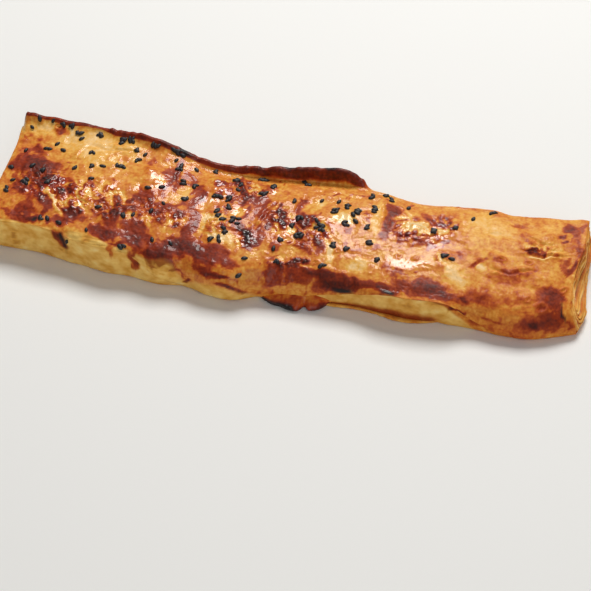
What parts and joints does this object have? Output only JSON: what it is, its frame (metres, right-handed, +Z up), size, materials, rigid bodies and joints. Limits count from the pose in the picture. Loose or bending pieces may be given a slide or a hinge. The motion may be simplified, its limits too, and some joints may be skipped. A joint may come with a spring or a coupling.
{
  "type": "spinach borek",
  "caption": "Rolled and flattened filo pastry with a baked brown crust, a standing back lip and scattered black seeds.",
  "frame": {"origin": "on the flat underside, under the middle of the overall outline", "axes": "+X along the roll, +Y towards the standing lip at the back, +Z up out of the top crust"},
  "size_m": [0.2558, 0.0704, 0.0259],
  "materials": {
    "crust": "baked dough with an egg wash, half glossy, blistered",
    "seeds": "dry black seeds with a dull skin"
  },
  "bodies": {
    "root": {"borek": "crust"}
  },
  "joints": []
}
